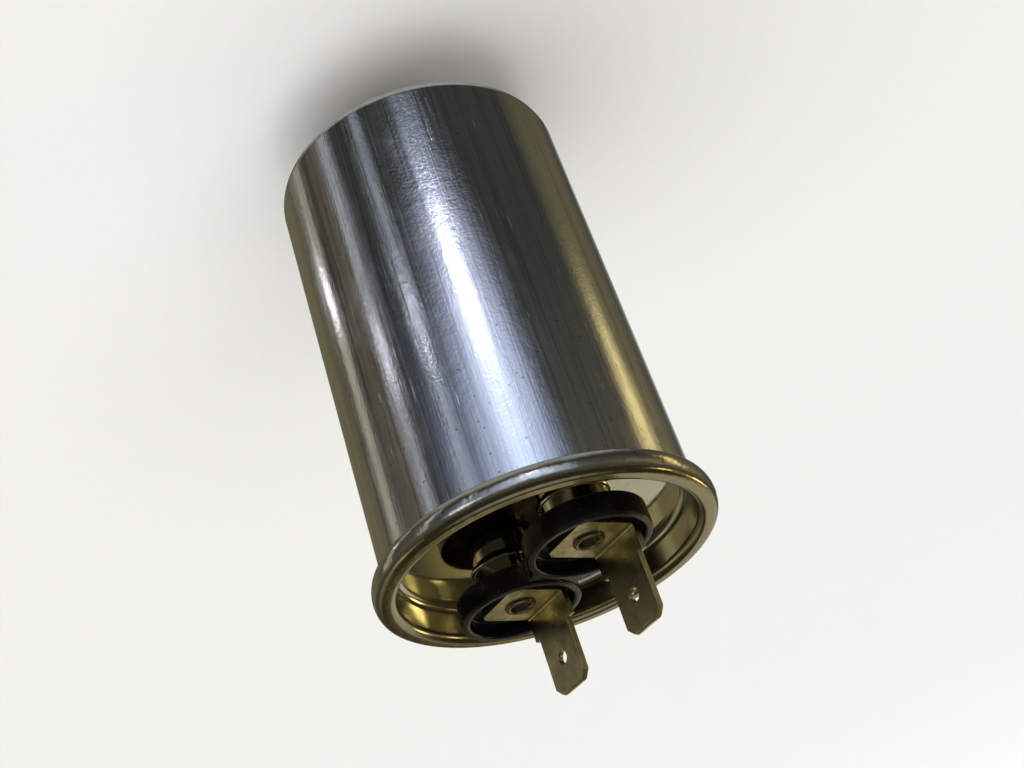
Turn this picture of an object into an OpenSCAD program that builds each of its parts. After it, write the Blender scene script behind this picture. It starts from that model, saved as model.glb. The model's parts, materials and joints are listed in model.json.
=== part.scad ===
// Motor-run film capacitor: an impact-extruded aluminium can with an M8 fixing stud,
// a double-seamed tinplate lid, a moulded twin-cup terminal block and two push-on tabs.
// Millimetres. +Z runs up the can to the terminals.
// The origin is the middle of the base, where the stud starts.

/* [Can] */
// Outer diameter of the can
can_d = 40; // [37:0.5:60]
// Height from the base to the top of the seam
can_h = 64; // [50:1:120]
// Thickness of the can's side wall
can_wall = 0.6; // [0.4:0.05:0.9]
// Thickness of the can's base
base_t = 2; // [1.2:0.1:4]
// Rounding of the base's outer edge
base_edge_r = 1.9; // [0.5:0.1:3]
// Rounding inside the can, between base and wall
base_inner_r = 1; // [0.3:0.1:1.5]

/* [Fixing stud] */
// Outside diameter of the stud's thread
stud_d = 8; // [6:1:12]
// Length of the stud below the base
stud_l = 12; // [8:0.5:20]
// Chamfer at the stud's end
stud_chamfer = 0.9; // [0.3:0.1:1.5]

/* [Lid and seam] */
// Thickness of the lid's sheet
lid_t = 0.45; // [0.3:0.05:0.6]
// Height of the rolled seam
seam_h = 3.1; // [2.8:0.1:4]
// Space between the folded layers of the seam
seam_gap = 0.05; // [0.03:0.01:0.08]
// Depth of the lid's panel below the top of the seam
recess_depth = 4.8; // [4.2:0.1:7]
// Inside radius of the bend from the lid's wall to the seam's top
lip_bend_r = 0.6; // [0.4:0.05:0.8]
// Inside radius of the bend from the seam's top to its outer wall
crown_bend_r = 0.45; // [0.2:0.05:0.5]
// Swell of the seam's outer wall past its folded layers
seam_swell = 0.15; // [0.05:0.01:0.2]
// Radius between the lid's panel and its wall
panel_bend_r = 1.2; // [0.6:0.1:1.8]
// Outer diameter of the raised neck under each terminal
neck_d = 8.4; // [7.4:0.1:10]
// Bend radius where a neck leaves the panel, and at its top
neck_bend_r = 0.6; // [0.5:0.05:0.8]

/* [Terminal block] */
// Distance between the two terminals
term_pitch = 15.75; // [14.5:0.25:18]
// Outer diameter of a terminal cup
cup_d = 15.4; // [14:0.1:15.5]
// Thickness of a cup's wall
cup_wall = 1; // [0.7:0.1:1.4]
// Outer height of a cup
cup_h = 3.15; // [2.6:0.05:4]
// Thickness of a cup's floor
cup_floor = 1.05; // [0.8:0.05:1.3]
// Height of a cup's lip above the top of the seam
cup_rise = 1.9; // [1:0.1:3]
// Rounding of a cup's outer edges
cup_edge_r = 0.3; // [0.1:0.05:0.4]
// Height of the round seat that carries a tab
seat_h = 0.3; // [0.1:0.05:0.5]
// Diameter of that seat
seat_d = 6.4; // [5:0.1:8]
// Radius of the waist between the two cups
waist_r = 2; // [1.5:0.1:3]
// Diameter of the tubular stem that passes through the lid
stem_d = 5.2; // [4.8:0.1:5.8]

/* [Tabs and rivets] */
// Width of a tab's blade
blade_w = 6.3; // [4.8:0.1:7]
// Thickness of the tab's sheet
tab_t = 0.8; // [0.5:0.05:1]
// Height of a blade above its foot
blade_h = 11.3; // [9:0.1:14]
// Diameter of the hole in a blade
blade_hole_d = 1.7; // [1.2:0.1:2]
// Distance from a blade's hole to its tip
blade_hole_drop = 4.1; // [3:0.1:5]
// Corner cut at a blade's tip
tip_cut = 1.1; // [0.5:0.1:1.6]
// Lead-in on both faces of a blade's tip
tip_bevel = 0.2; // [0.05:0.05:0.2]
// Width of a tab's foot
foot_w = 8; // [7.2:0.1:8.6]
// Distance from the rivet to the foot's free edge
foot_back = 3.7; // [3:0.1:4.2]
// Distance from the rivet to the blade
foot_front = 3.75; // [3.2:0.05:4.2]
// Corner cut at the foot's free edge
foot_cut = 0.8; // [0.3:0.1:1.5]
// Height of the shoulders above the foot
shoulder_h = 3.2; // [2:0.1:5]
// Inside radius of the tab's bend
tab_bend_r = 0.4; // [0.2:0.05:0.6]
// Diameter of a rivet's shank
rivet_d = 3; // [2.4:0.1:3.2]
// Diameter of a rivet's head
rivet_head_d = 4; // [3.6:0.1:5]
// Height of a rivet's head
rivet_head_h = 0.4; // [0.3:0.05:0.7]
// Wall of a rivet round the dimple in its head
rivet_wall = 0.3; // [0.2:0.05:0.6]
// Depth of that dimple
dimple_depth = 1; // [0.2:0.05:1.2]
// Diameter of a rivet's clinched end
clinch_d = 4.6; // [4:0.1:5.4]
// Height of a rivet's clinched end
clinch_h = 0.5; // [0.3:0.05:0.8]

/* [Under the lid] */
// Clearance of pieces that pass through one another
fit = 0.05; // [0.03:0.01:0.1]
// Clearance round a lead where it passes through the holder
lead_fit = 0.4; // [0.2:0.05:0.8]
// Thickness of the insulating plate under the lid
plate_t = 1.5; // [1:0.1:2.5]
// Width of that plate
plate_w = 10.4; // [9:0.1:11]
// Thickness of a solder lug
lug_t = 0.6; // [0.4:0.05:1]
// Diameter of a lug's eye
lug_eye_d = 6; // [5:0.1:7]
// Width of a lug's tail
lug_tail_w = 3.2; // [2.6:0.1:4]
// Outer diameter of a lead wire
wire_d = 1.6; // [1:0.1:2]
// Bend radius of a lead wire, to its middle
wire_bend_r = 2; // [1.6:0.1:2.4]
// Length of a lead's straight end on the winding
wire_tail = 4; // [2:0.5:5]

/* [Winding] */
// Clearance round the winding and round its liner
liner_fit = 0.15; // [0.1:0.05:0.4]
// Thickness of the liner's wall
liner_wall = 0.6; // [0.4:0.1:1.2]
// Thickness of the liner's floor
liner_floor = 1.2; // [0.8:0.1:2.5]
// Room left for the soldered lead at each end of the winding
solder_room = 3.2; // [3:0.1:5]
// Thickness of the sprayed metal at each end of the winding
spray_t = 0.6; // [0.3:0.1:1]
// Outer diameter of the tube in the winding's core
core_d = 9; // [8:0.5:11]
// Wall of the tube in the winding's core
core_wall = 1; // [0.5:0.1:1.4]
// Thickness of the holder's disc
holder_t = 1.5; // [1:0.1:3]
// Space between the terminals' lower ends and the holder's disc
head_gap = 2; // [1:0.1:5]
// Radial thickness of the holder's and the liner's rings
ring_t = 1.7; // [1:0.1:2]

/* [Label] */
// Height of the film label
label_h = 34; // [10:1:40]
// Distance of the label's upper edge below the seam
label_drop = 1.4; // [0.5:0.1:4]
// Angle that the label covers
label_angle = 100; // [40:5:170]
// Direction that the label's middle faces
label_facing = 41; // [0:1:359]
// Thickness of the label's film
label_t = 0.1; // [0.05:0.01:0.2]

/* [Hidden] */
$fn = 96;
// Straight pieces in each quarter turn of a profile's arc
arc_steps = 8;
// Extra length of a cutting tool past the face that it cuts
over = 1;

// Radii of the seam's layers, from the lid's wall inside to the seam's outer wall
can_r = can_d / 2;
bore_r = can_r - can_wall;
lid_wall_ro = bore_r - seam_gap;
lid_wall_ri = lid_wall_ro - lid_t;
cover_hook_ri = can_r + seam_gap;
cover_hook_ro = cover_hook_ri + lid_t;
body_hook_ri = cover_hook_ro + seam_gap;
body_hook_ro = body_hook_ri + can_wall;
seam_ri = body_hook_ro + seam_gap;
seam_ro = seam_ri + lid_t;

// Bend of the can's edge over the cover hook
body_bend_c = (can_r + body_hook_ri) / 2;
body_bend_ri = (body_hook_ri - can_r) / 2;
body_bend_ro = body_bend_ri + can_wall;
body_bend_z = can_h - lid_t - seam_gap - body_bend_ro;

// Bend of the lid's edge under the body hook
cover_bend_c = (cover_hook_ro + seam_ri) / 2;
cover_bend_ri = (seam_ri - cover_hook_ro) / 2;
cover_bend_ro = cover_bend_ri + lid_t;
cover_bend_z = can_h - seam_h + cover_bend_ro;

// Outer radii of the lid's bends, and its levels
lip_r = lip_bend_r + lid_t;
crown_r = crown_bend_r + lid_t;
crown_z = can_h - crown_r;
panel_z = can_h - recess_depth;
lid_under_z = panel_z - lid_t;

// Swollen outer wall of the seam: an arc that runs on from the crown and from the bend under the body hook
swell_z = (crown_z + cover_bend_z) / 2 + seam_swell * (crown_r - cover_bend_ro) / (crown_z - cover_bend_z);
swell_r = crown_r + (pow(crown_z - swell_z, 2) + pow(seam_swell, 2)) / (2 * seam_swell);
swell_c = [seam_ro + seam_swell - swell_r, swell_z];
swell_top = asin((crown_z - swell_z) / (swell_r - crown_r));
swell_low = asin((swell_z - cover_bend_z) / (swell_r - cover_bend_ro));

// Levels of the terminal block and of what is stacked on its two axes
term_x = term_pitch / 2;
cup_r = cup_d / 2;
cup_base_z = can_h + cup_rise - cup_h;
cup_lip_z = can_h + cup_rise;
cup_inside_z = cup_base_z + cup_floor;
foot_z = cup_inside_z + seat_h;
rivet_head_z = foot_z + tab_t;
dimple_z = rivet_head_z + rivet_head_h - dimple_depth;
dimple_r = rivet_d / 2 - rivet_wall;
neck_r = neck_d / 2;
stem_r = stem_d / 2;
plate_under_z = lid_under_z - plate_t;
lug_under_z = plate_under_z - lug_t;
clinch_z = lug_under_z - clinch_h;
rivet_bore_r = rivet_d / 2 + fit;
wire_r = wire_d / 2;
wire_hole_r = wire_r + fit;
holder_hole_r = wire_r + lead_fit;

// The winding's stack, from the can's base up and from the lid down
liner_ro = bore_r - liner_fit;
liner_ri = liner_ro - liner_wall;
winding_r = liner_ri - liner_fit;
liner_floor_z = base_t + liner_floor;
spray_bottom_z = liner_floor_z + solder_room;
winding_z = spray_bottom_z + spray_t;
holder_top_z = clinch_z - head_gap;
holder_z = holder_top_z - holder_t;
spray_top_z = holder_z - solder_room - spray_t;
winding_top_z = spray_top_z + spray_t;
holder_ring_ro = lid_wall_ri - panel_bend_r - neck_bend_r;

// Points of an arc about c from angle a0 to angle a1
function arc(c, r, a0, a1) =
    let (n = ceil(arc_steps * abs(a1 - a0) / 90))
    [for (i = [0:n]) c + r * [cos(a0 + (a1 - a0) * i / n), sin(a0 + (a1 - a0) * i / n)]];

// Points without the first and the last, where they run on from their neighbours
function between(points) = [for (i = [1:len(points) - 2]) points[i]];

// Points over the rounded top of a ring of height h, from its outer radius in
function rolled_ring(ri, ro, z, h) =
    [for (a = [0:90 / arc_steps:180]) [(ri + ro) / 2 + (ro - ri) / 2 * cos(a), z + h * sin(a)]];

// Half section of the can: stud, base, wall, and its edge turned out and down as the body hook
can_profile = concat(
    [[0, -stud_l], [stud_d / 2 - stud_chamfer, -stud_l],
     [stud_d / 2, stud_chamfer - stud_l], [stud_d / 2, 0]],
    arc([can_r - base_edge_r, base_edge_r], base_edge_r, -90, 0),
    arc([body_bend_c, body_bend_z], body_bend_ri, 180, 0),
    [[body_hook_ri, cover_bend_z + seam_gap], [body_hook_ro, cover_bend_z + seam_gap]],
    arc([body_bend_c, body_bend_z], body_bend_ro, 0, 180),
    arc([bore_r - base_inner_r, base_t + base_inner_r], base_inner_r, 0, -90),
    [[0, base_t]]);

// Half section of the lid: panel, wall, seam top, outer wall, and its edge tucked up as the cover hook
lid_profile = concat(
    [[0, lid_under_z]],
    arc([lid_wall_ri - panel_bend_r, panel_z + panel_bend_r], panel_bend_r + lid_t, -90, 0),
    arc([lid_wall_ri + lip_r, can_h - lip_r], lip_bend_r, 180, 90),
    arc([seam_ro - crown_r, crown_z], crown_bend_r, 90, swell_top),
    between(arc(swell_c, swell_r - lid_t, swell_top, -swell_low)),
    arc([cover_bend_c, cover_bend_z], cover_bend_ri, -swell_low, -180),
    [[cover_hook_ro, body_bend_z - seam_gap], [cover_hook_ri, body_bend_z - seam_gap]],
    arc([cover_bend_c, cover_bend_z], cover_bend_ro, 180, 360 - swell_low),
    between(arc(swell_c, swell_r, -swell_low, swell_top)),
    arc([seam_ro - crown_r, crown_z], crown_r, swell_top, 90),
    arc([lid_wall_ri + lip_r, can_h - lip_r], lip_r, 90, 180),
    arc([lid_wall_ri - panel_bend_r, panel_z + panel_bend_r], panel_bend_r, 0, -90),
    [[0, panel_z]]);

// Half section of a neck drawn up out of the lid's panel, grown inwards by inset
function neck_profile(inset, foot) = concat(
    [[0, foot], [neck_r + neck_bend_r, foot]],
    arc([neck_r + neck_bend_r, panel_z + neck_bend_r], neck_bend_r + inset, 270, 180),
    arc([neck_r - neck_bend_r, cup_base_z - neck_bend_r], neck_bend_r - inset, 0, 90),
    [[0, cup_base_z - inset]]);

// Half section of a cup with rounded outer edges and lip
cup_profile = concat(
    [[0, cup_base_z]],
    arc([cup_r - cup_edge_r, cup_base_z + cup_edge_r], cup_edge_r, -90, 0),
    arc([cup_r - cup_edge_r, cup_lip_z - cup_edge_r], cup_edge_r, 0, 90),
    [[cup_r - cup_wall, cup_lip_z], [cup_r - cup_wall, cup_inside_z], [0, cup_inside_z]]);

// Half section of a rivet: head rolled round a tapered dimple, shank and clinched end
rivet_profile = concat(
    [[0, clinch_z], [clinch_d / 2, clinch_z], [clinch_d / 2, lug_under_z], [rivet_d / 2, lug_under_z],
     [rivet_d / 2, rivet_head_z]],
    rolled_ring(dimple_r, rivet_head_d / 2, rivet_head_z, rivet_head_h),
    [[dimple_r * 2 / 3, dimple_z], [0, dimple_z]]);

// Side view of a tab, as y and z from the rivet's axis and the foot's underside
tab_profile = concat(
    [[-foot_back, tab_t], [-foot_back, 0]],
    arc([foot_front - tab_bend_r, tab_t + tab_bend_r], tab_bend_r + tab_t, -90, 0),
    [[foot_front + tab_t, tab_t + blade_h - tip_bevel], [foot_front + tab_t - tip_bevel, tab_t + blade_h],
     [foot_front + tip_bevel, tab_t + blade_h], [foot_front, tab_t + blade_h - tip_bevel]],
    arc([foot_front - tab_bend_r, tab_t + tab_bend_r], tab_bend_r, 0, -90));

// One half of a tab's front view, as x and z: foot width, shoulder, blade and cut tip
tab_half_front = [
    [foot_w / 2, -over], [foot_w / 2, tab_t + shoulder_h], [blade_w / 2, tab_t + shoulder_h],
    [blade_w / 2, tab_t + blade_h - tip_cut], [blade_w / 2 - tip_cut, tab_t + blade_h + fit]];

module revolve(profile) {
    rotate_extrude()
        polygon(profile);
}

// Cylinder between two levels
module rod(r, z0, z1) {
    translate([0, 0, z0])
        cylinder(r = r, h = z1 - z0);
}

// Ring between two levels
module ring(ro, ri, z0, z1) {
    difference() {
        rod(ro, z0, z1);
        rod(ri, z0 - over, z1 + over);
    }
}

// Both terminals' axes
module each_terminal() {
    for (side = [-1, 1])
        translate([side * term_x, 0, 0])
            children();
}

module can() {
    color("#b4b8be")
        revolve(can_profile);
}

module lid() {
    color("#bdb8aa")
        difference() {
            union() {
                revolve(lid_profile);
                each_terminal()
                    revolve(neck_profile(0, panel_z - lid_t / 2));
            }
            each_terminal() {
                revolve(neck_profile(lid_t, lid_under_z - over));
                rod(stem_r + fit, lid_under_z, cup_base_z + over);
            }
        }
}

// Sealing compound in the seam's crown, outside the can's turned edge
module seam_seal() {
    color("#6f6450")
        rotate_extrude()
            intersection() {
                difference() {
                    translate([body_bend_c, body_bend_z])
                        square([seam_ri - fit - body_bend_c, can_h - lid_t - fit - body_bend_z]);
                    translate([body_bend_c, body_bend_z])
                        circle(r = body_bend_ro + fit);
                }
                translate([seam_ro - crown_r, crown_z])
                    circle(r = crown_bend_r - fit);
            }
}

// Twin-cup moulding: cups, the waist that joins them, tab seats, and stems through the lid
module terminal_block() {
    waist_y = sqrt(pow(cup_r + waist_r, 2) - pow(term_x, 2));
    touch = cup_r / (cup_r + waist_r);
    color("#17171a")
        difference() {
            union() {
                each_terminal()
                    revolve(cup_profile);
                difference() {
                    translate([-term_x * (1 - touch), -waist_y * touch, cup_base_z])
                        cube([2 * term_x * (1 - touch), 2 * waist_y * touch, cup_h - cup_edge_r]);
                    for (side = [-1, 1])
                        translate([0, side * waist_y, 0])
                            rod(waist_r, cup_base_z - over, cup_lip_z + over);
                    each_terminal()
                        rod(cup_r - cup_wall, cup_inside_z, cup_lip_z + over);
                }
                each_terminal() {
                    rod(seat_d / 2, cup_base_z, foot_z);
                    rod(stem_r, plate_under_z, cup_base_z + cup_floor / 2);
                }
            }
            each_terminal()
                rod(rivet_bore_r, plate_under_z - over, foot_z + over);
        }
}

// Bent push-on tab: flat foot, one bend, shouldered blade with its hole
module tab() {
    mirrored = [for (i = [len(tab_half_front) - 1:-1:0]) [-tab_half_front[i][0], tab_half_front[i][1]]];
    translate([0, 0, foot_z])
        difference() {
            intersection() {
                rotate([90, 0, 90])
                    translate([0, 0, -foot_w / 2])
                        linear_extrude(foot_w)
                            polygon(tab_profile);
                rotate([90, 0, 0])
                    translate([0, 0, -foot_front - tab_t - over])
                        linear_extrude(foot_front + tab_t + foot_back + 2 * over)
                            polygon(concat(tab_half_front, mirrored));
            }
            for (side = [-1, 1])
                translate([side * foot_w / 2, -foot_back, tab_t / 2])
                    rotate([0, 0, 45])
                        cube([foot_cut * sqrt(2), foot_cut * sqrt(2), 2 * tab_t], center = true);
            rod(rivet_bore_r, -over, tab_t + over);
            translate([0, foot_front - over, tab_t + blade_h - blade_hole_drop])
                rotate([-90, 0, 0])
                    cylinder(d = blade_hole_d, h = tab_t + 2 * over);
        }
}

module tab_a() {
    color("#c4bda9")
        translate([term_x, 0, 0])
            tab();
}

module tab_b() {
    color("#c4bda9")
        translate([-term_x, 0, 0])
            tab();
}

module rivet_a() {
    color("#a89e88")
        translate([term_x, 0, 0])
            revolve(rivet_profile);
}

module rivet_b() {
    color("#a89e88")
        translate([-term_x, 0, 0])
            revolve(rivet_profile);
}

// Rubber bush that fills a neck from below and seals the stem
module gasket() {
    ring(neck_r - lid_t - fit, stem_r + fit, lid_under_z, cup_base_z - lid_t - neck_bend_r + fit);
}

module gasket_a() {
    color("#3b3b3d")
        translate([term_x, 0, 0])
            gasket();
}

module gasket_b() {
    color("#3b3b3d")
        translate([-term_x, 0, 0])
            gasket();
}

// Insulating plate that closes both necks from below
module inner_plate() {
    color("#8a5a33")
        difference() {
            union() {
                translate([-term_x, -plate_w / 2, plate_under_z])
                    cube([term_pitch, plate_w, plate_t]);
                each_terminal()
                    rod(plate_w / 2, plate_under_z, lid_under_z);
            }
            each_terminal()
                rod(stem_r + fit, plate_under_z - over, lid_under_z + over);
        }
}

// Solder lug with its eye on the rivet and its wire hole on the tail, along +X
module lug() {
    difference() {
        union() {
            rod(lug_eye_d / 2, lug_under_z, plate_under_z);
            at_wire_hole()
                rod(lug_tail_w / 2, lug_under_z, plate_under_z);
            translate([0, -lug_tail_w / 2, lug_under_z])
                cube([term_x, lug_tail_w, lug_t]);
        }
        rod(rivet_bore_r, lug_under_z - over, plate_under_z + over);
        at_wire_hole()
            rod(wire_hole_r, lug_under_z - over, plate_under_z + over);
    }
}

// A lug's wire hole lies half the pitch from its rivet
module at_wire_hole() {
    translate([term_x, 0, 0])
        children();
}

module lug_a() {
    color("#c8bf9a")
        translate([term_x, 0, 0])
            rotate([0, 0, -90])
                lug();
}

module lug_b() {
    color("#c8bf9a")
        translate([-term_x, 0, 0])
            lug();
}

// Lead that runs straight down from level z0, bends at radius wire_bend_r and ends in a tail along +X
module lead(z0, tail_z) {
    rod(wire_r, tail_z + wire_bend_r, z0);
    translate([wire_bend_r, 0, tail_z + wire_bend_r])
        rotate([90, 0, 0])
            rotate_extrude(angle = 90, start = 180)
                translate([wire_bend_r, 0])
                    circle(r = wire_r);
    translate([wire_bend_r, 0, tail_z])
        rotate([0, 90, 0])
            cylinder(r = wire_r, h = wire_tail);
}

module lead_short() {
    color("#b5482f")
        translate([term_x, -term_x, 0])
            rotate([0, 0, 180])
                lead(plate_under_z, winding_top_z + wire_r + fit);
}

module lead_long() {
    color("#2f5fa8")
        lead(plate_under_z, spray_bottom_z - wire_r - fit);
}

// Plastic disc that keeps the leads apart and holds the winding down from the lid
module top_holder() {
    color("#eceae2")
        difference() {
            union() {
                rod(liner_ro, holder_z, holder_top_z);
                ring(holder_ring_ro, holder_ring_ro - ring_t, holder_z, lid_under_z);
                ring(holder_ring_ro, holder_ring_ro - ring_t, winding_top_z, holder_z + holder_t / 2);
            }
            rod(holder_hole_r, holder_z - over, holder_top_z + over);
            translate([term_x, -term_x, 0])
                rod(holder_hole_r, holder_z - over, holder_top_z + over);
        }
}

module winding() {
    color("#cfd3d2")
        ring(winding_r, core_d / 2 + fit, winding_z, spray_top_z);
}

module core_tube() {
    color("#e9e4d6")
        ring(core_d / 2, core_d / 2 - core_wall, spray_bottom_z, winding_top_z);
}

module spray_top() {
    color("#8d9195")
        ring(winding_r, core_d / 2 + fit, spray_top_z, winding_top_z);
}

module spray_bottom() {
    color("#8d9195")
        ring(winding_r, core_d / 2 + fit, spray_bottom_z, winding_z);
}

// Plastic cup that insulates the winding from the can and seats it on a ring
module liner_cup() {
    color("#d8e2e4")
        difference() {
            union() {
                rod(liner_ro, base_t + base_inner_r, holder_z);
                translate([0, 0, base_t])
                    cylinder(r1 = liner_ro - base_inner_r, r2 = liner_ro, h = base_inner_r);
            }
            rod(liner_ri, spray_bottom_z, holder_z + over);
            rod(liner_ri - ring_t, liner_floor_z, spray_bottom_z + over);
        }
}

// Plain film label on the can's wall
module label() {
    label_top = can_h - seam_h - label_drop;
    color("#ced2d7")
        rotate([0, 0, label_facing - label_angle / 2])
            rotate_extrude(angle = label_angle)
                translate([can_r + fit / 2, label_top - label_h])
                    square([label_t, label_h]);
}

can();
lid();
seam_seal();
terminal_block();
tab_a();
tab_b();
rivet_a();
rivet_b();
gasket_a();
gasket_b();
inner_plate();
lug_a();
lug_b();
lead_short();
lead_long();
top_holder();
winding();
core_tube();
spray_top();
spray_bottom();
liner_cup();
label();
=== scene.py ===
"""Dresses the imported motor-run capacitor: its thread, seam, terminals and label as finished pieces,
a material for every piece, and a plain studio with the camera at the photograph's angle.
"""

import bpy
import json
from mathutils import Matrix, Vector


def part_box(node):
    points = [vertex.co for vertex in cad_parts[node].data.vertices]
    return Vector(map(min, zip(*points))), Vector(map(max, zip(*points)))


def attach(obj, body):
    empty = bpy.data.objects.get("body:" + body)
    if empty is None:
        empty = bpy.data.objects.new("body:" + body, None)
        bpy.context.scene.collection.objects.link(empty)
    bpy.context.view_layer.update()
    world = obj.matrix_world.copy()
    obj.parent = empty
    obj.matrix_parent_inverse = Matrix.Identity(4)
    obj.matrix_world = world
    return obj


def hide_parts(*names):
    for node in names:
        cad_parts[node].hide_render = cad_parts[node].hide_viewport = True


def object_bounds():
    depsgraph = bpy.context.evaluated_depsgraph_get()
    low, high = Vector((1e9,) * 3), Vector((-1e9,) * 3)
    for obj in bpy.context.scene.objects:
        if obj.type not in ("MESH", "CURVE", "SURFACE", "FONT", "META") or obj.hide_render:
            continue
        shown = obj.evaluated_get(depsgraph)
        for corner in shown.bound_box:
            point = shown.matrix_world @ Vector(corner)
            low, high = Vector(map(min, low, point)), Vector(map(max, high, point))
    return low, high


bl_info = {
    "name": "Motor-run capacitor",
    "version": (1, 0, 0),
    "blender": (4, 5, 0),
    "location": "3D View > Sidebar > Capacitor",
    "description": "Builds the finished pieces and materials of a stud-mounted film capacitor",
    "category": "Object",
}

import json
import math

import bmesh
import bpy
from bpy.props import FloatProperty, FloatVectorProperty, PointerProperty
from mathutils import Matrix, Vector

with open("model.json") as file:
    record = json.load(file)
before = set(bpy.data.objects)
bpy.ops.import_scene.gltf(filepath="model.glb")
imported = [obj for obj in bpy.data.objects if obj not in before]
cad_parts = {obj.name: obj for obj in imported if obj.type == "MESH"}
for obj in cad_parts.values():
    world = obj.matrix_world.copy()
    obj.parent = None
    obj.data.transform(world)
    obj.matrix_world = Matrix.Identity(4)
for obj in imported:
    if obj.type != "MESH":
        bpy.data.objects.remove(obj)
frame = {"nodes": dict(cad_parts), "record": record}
CAD_BOX = [list(corner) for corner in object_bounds()]

MM = 0.001
BODY = "root"
# Straight pieces in a full turn, in the turn of a small round such as a rivet, and in a quarter bend
TURN_STEPS = 192
SMALL_TURN_STEPS = 96
BEND_STEPS = 8
# Pieces of thread profile in one pitch
THREAD_STEPS = 20
# Metric thread with a 60 degree profile: depth and the flats at crest and root as shares of its pitch
THREAD_DEPTH = 0.541
CREST_FLAT = 1 / 8
ROOT_FLAT = 1 / 4
# Edges that bend more than this stay sharp
SHARP_ANGLE = math.radians(38)


def linear(code):
    """Linear red, green and blue of an sRGB hex code."""
    shares = [int(code[start:start + 2], 16) / 255 for start in (1, 3, 5)]
    return [s / 12.92 if s <= 0.04045 else ((s + 0.055) / 1.055) ** 2.4 for s in shares]


def length(name, description, millimetres):
    """Property for a length that is given in millimetres."""
    return FloatProperty(name=name, description=description, default=millimetres * MM,
                         unit="LENGTH", precision=5)


def degrees(name, description, turn):
    """Property for an angle that is given in degrees."""
    return FloatProperty(name=name, description=description, default=math.radians(turn),
                         subtype="ANGLE")


def colour(name, description, code):
    """Property for a colour that is given as an sRGB hex code."""
    return FloatVectorProperty(name=name, description=description, default=linear(code),
                               subtype="COLOR")


class CanSizes(bpy.types.PropertyGroup):
    wall: length("Wall", "Thickness of the can's side wall", 0.6)
    base: length("Base", "Thickness of the can's base", 2.0)
    base_edge: length("Base edge", "Rounding of the base's outer edge", 1.9)
    inner_edge: length("Inner edge", "Rounding inside the can, between base and wall", 1.0)
    stud_chamfer: length("Stud chamfer", "Chamfer at the stud's end", 0.9)
    thread_pitch: length("Thread pitch", "Rise of the stud's thread in one turn", 1.25)
    run_out: length("Run-out", "Length over which the thread fades out at the base", 1.0)


class LidSizes(bpy.types.PropertyGroup):
    sheet: length("Sheet", "Thickness of the lid's tinplate", 0.45)
    layer_gap: length("Layer gap", "Space between the folded layers of the seam", 0.05)
    seam_height: length("Seam height", "Height of the rolled seam", 3.1)
    lip_bend: length("Lip bend", "Inside radius of the bend from the wall to the seam's top", 0.6)
    crown_bend: length("Crown bend", "Inside radius of the bend from the seam's top outwards", 0.45)
    swell: length("Swell", "Swell of the seam's outer wall past its folded layers", 0.15)
    panel_bend: length("Panel bend", "Radius between the panel and its wall", 1.2)
    neck_radius: length("Neck radius", "Outside radius of the neck under each terminal", 4.2)
    neck_bend: length("Neck bend", "Bend radius at a neck's foot and top", 0.6)
    stem_hole: length("Stem hole", "Radius of the hole for the block's stem", 2.65)


class BlockSizes(bpy.types.PropertyGroup):
    cup_wall: length("Cup wall", "Thickness of a cup's wall", 1.0)
    cup_height: length("Cup height", "Outer height of a cup", 3.15)
    cup_floor: length("Cup floor", "Thickness of a cup's floor", 1.05)
    edge: length("Edge", "Rounding of a cup's edges", 0.3)
    seat_radius: length("Seat radius", "Radius of the seat under a tab", 3.2)
    waist: length("Waist", "Radius of the waist between the cups", 2.0)
    stem_radius: length("Stem radius", "Outside radius of a stem", 2.6)
    bore: length("Bore", "Radius of the rivet's hole", 1.55)


class TabSizes(bpy.types.PropertyGroup):
    sheet: length("Sheet", "Thickness of a tab", 0.8)
    blade_width: length("Blade width", "Width of a blade", 6.3)
    shoulder: length("Shoulder", "Height of the shoulders above the foot", 3.2)
    bend: length("Bend", "Inside radius of the bend", 0.4)
    hole: length("Hole", "Diameter of the hole in a blade", 1.7)
    hole_drop: length("Hole drop", "Distance from the hole to the tip", 4.1)
    tip_cut: length("Tip cut", "Corner cut at the tip", 1.1)
    tip_bevel: length("Tip bevel", "Lead-in on both faces of the tip", 0.2)
    foot_cut: length("Foot cut", "Corner cut at the foot's free edge", 0.8)
    edge: length("Edge", "Rounding left by the press on the cut edges", 0.07)


class RivetSizes(bpy.types.PropertyGroup):
    shank: length("Shank", "Radius of the shank", 1.5)
    head: length("Head", "Radius of the rolled head", 2.0)
    head_height: length("Head height", "Height of the rolled head", 0.4)
    dimple: length("Dimple", "Radius of the dimple in the head", 1.2)
    dimple_floor: length("Dimple floor", "Radius of that dimple's flat floor", 0.8)
    dimple_depth: length("Dimple depth", "Depth of that dimple", 1.0)
    clinch_height: length("Clinch height", "Height of the clinched end", 0.5)


class LabelSizes(bpy.types.PropertyGroup):
    film: length("Film", "Thickness of the label", 0.1)
    glue: length("Glue", "Space for the glue under the label", 0.025)
    angle: degrees("Angle", "Angle that the label covers", 100)
    facing: degrees("Facing", "Direction that the label's middle faces", 41)


class Finishes(bpy.types.PropertyGroup):
    aluminium: colour("Aluminium", "Drawn aluminium of the can", "#dcdde0")
    tinplate: colour("Tinplate", "Bright tinplate of the lid", "#d6d2c8")
    # The seam's crest is rougher tinplate whose colour is darkened further as painted shade
    crest: colour("Seam crest", "Dulled tinplate along the seam's crest", "#a39b84")
    phenolic: colour("Phenolic", "Black moulding of the terminal block", "#08080a")
    dust: colour("Dust", "Fine dust on the terminal block", "#77736b")
    tinned: colour("Tinned brass", "Push-on tabs", "#dcd4b0")
    rivet: colour("Rivets", "Tinned brass of the rivets", "#a3967e")
    film: colour("Label", "Metallised film of the label", "#ced1d6")
    floor: colour("Floor", "Paper of the studio's floor", "#f0f0ef")


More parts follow.
